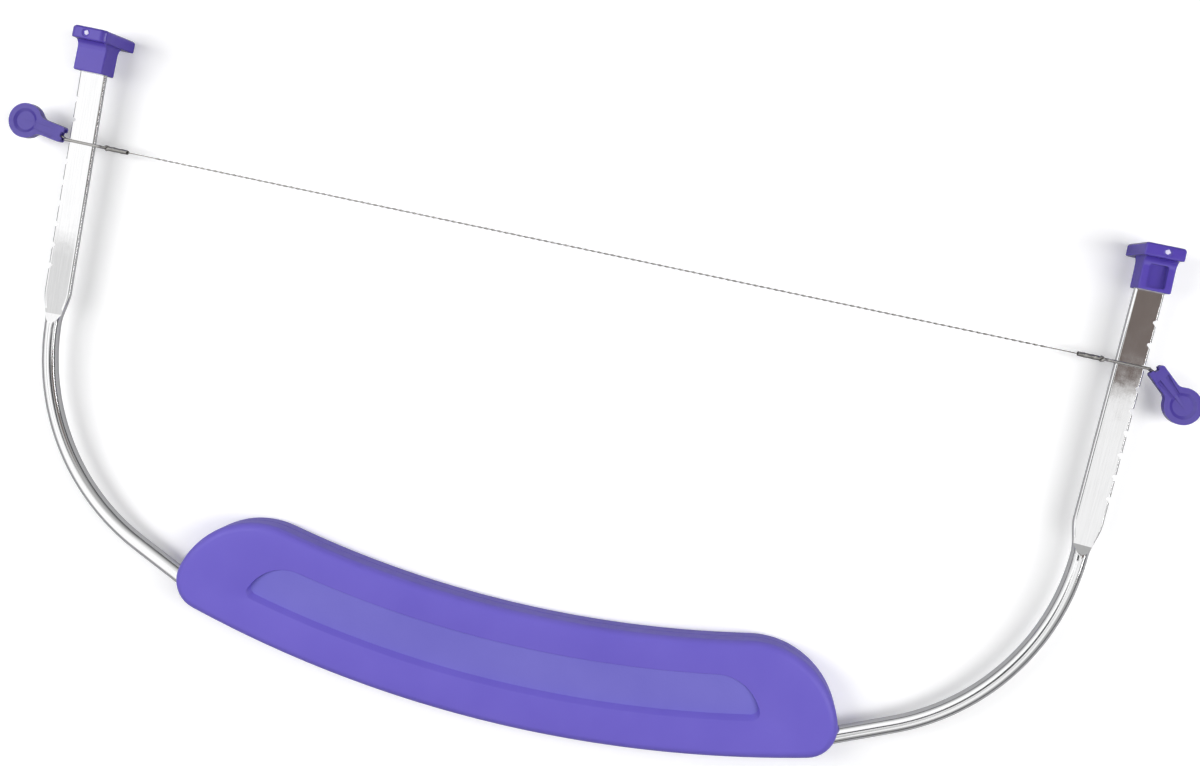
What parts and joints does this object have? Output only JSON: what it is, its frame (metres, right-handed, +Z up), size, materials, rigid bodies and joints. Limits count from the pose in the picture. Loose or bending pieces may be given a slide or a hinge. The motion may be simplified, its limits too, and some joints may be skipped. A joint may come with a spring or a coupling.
{
  "type": "cake leveler",
  "caption": "Bent steel bow with a two-shell grip and moulded feet, carrying a tensioned cutting wire that hooks into matching side notches at a chosen height.",
  "frame": {"origin": "on the table that it lies on, midway between the arms, and midway between the feet's soles and the grip's far edge", "axes": "+X along the cutting wire, +Y from the grip toward the feet's soles, +Z up off the table"},
  "size_m": [0.3593, 0.1734, 0.02],
  "materials": {
    "polished_steel": "polished",
    "wire_steel": "drawn",
    "grip_plastic": "satin",
    "foot_plastic": "satin"
  },
  "bodies": {
    "bow": {"bow_tube": "polished_steel", "handle_front_shell": "grip_plastic", "handle_rear_shell": "grip_plastic", "left_foot": "foot_plastic", "right_foot": "foot_plastic"},
    "wire": {"cutting_wire": "wire_steel", "left_ferrule": "wire_steel", "right_ferrule": "wire_steel", "left_hook": "wire_steel", "right_hook": "wire_steel"},
    "left_tab": {"left_tab": "foot_plastic"},
    "right_tab": {"right_tab": "foot_plastic"}
  },
  "joints": [
    {"name": "wire_height", "type": "slide", "parent": "bow", "child": "wire", "axis": [0, 1, 0], "range_m": [-0.03807, 0.01269]},
    {"name": "left_tab_swing", "type": "hinge", "parent": "wire", "child": "left_tab", "pos_m": [-0.16506, 0.05443, 0.01], "axis": [0, 0, 1], "range_deg": [-39, 11]},
    {"name": "right_tab_swing", "type": "hinge", "parent": "wire", "child": "right_tab", "pos_m": [0.16506, 0.0514, 0.01], "axis": [0, 0, 1], "range_deg": [-6, 44]}
  ]
}
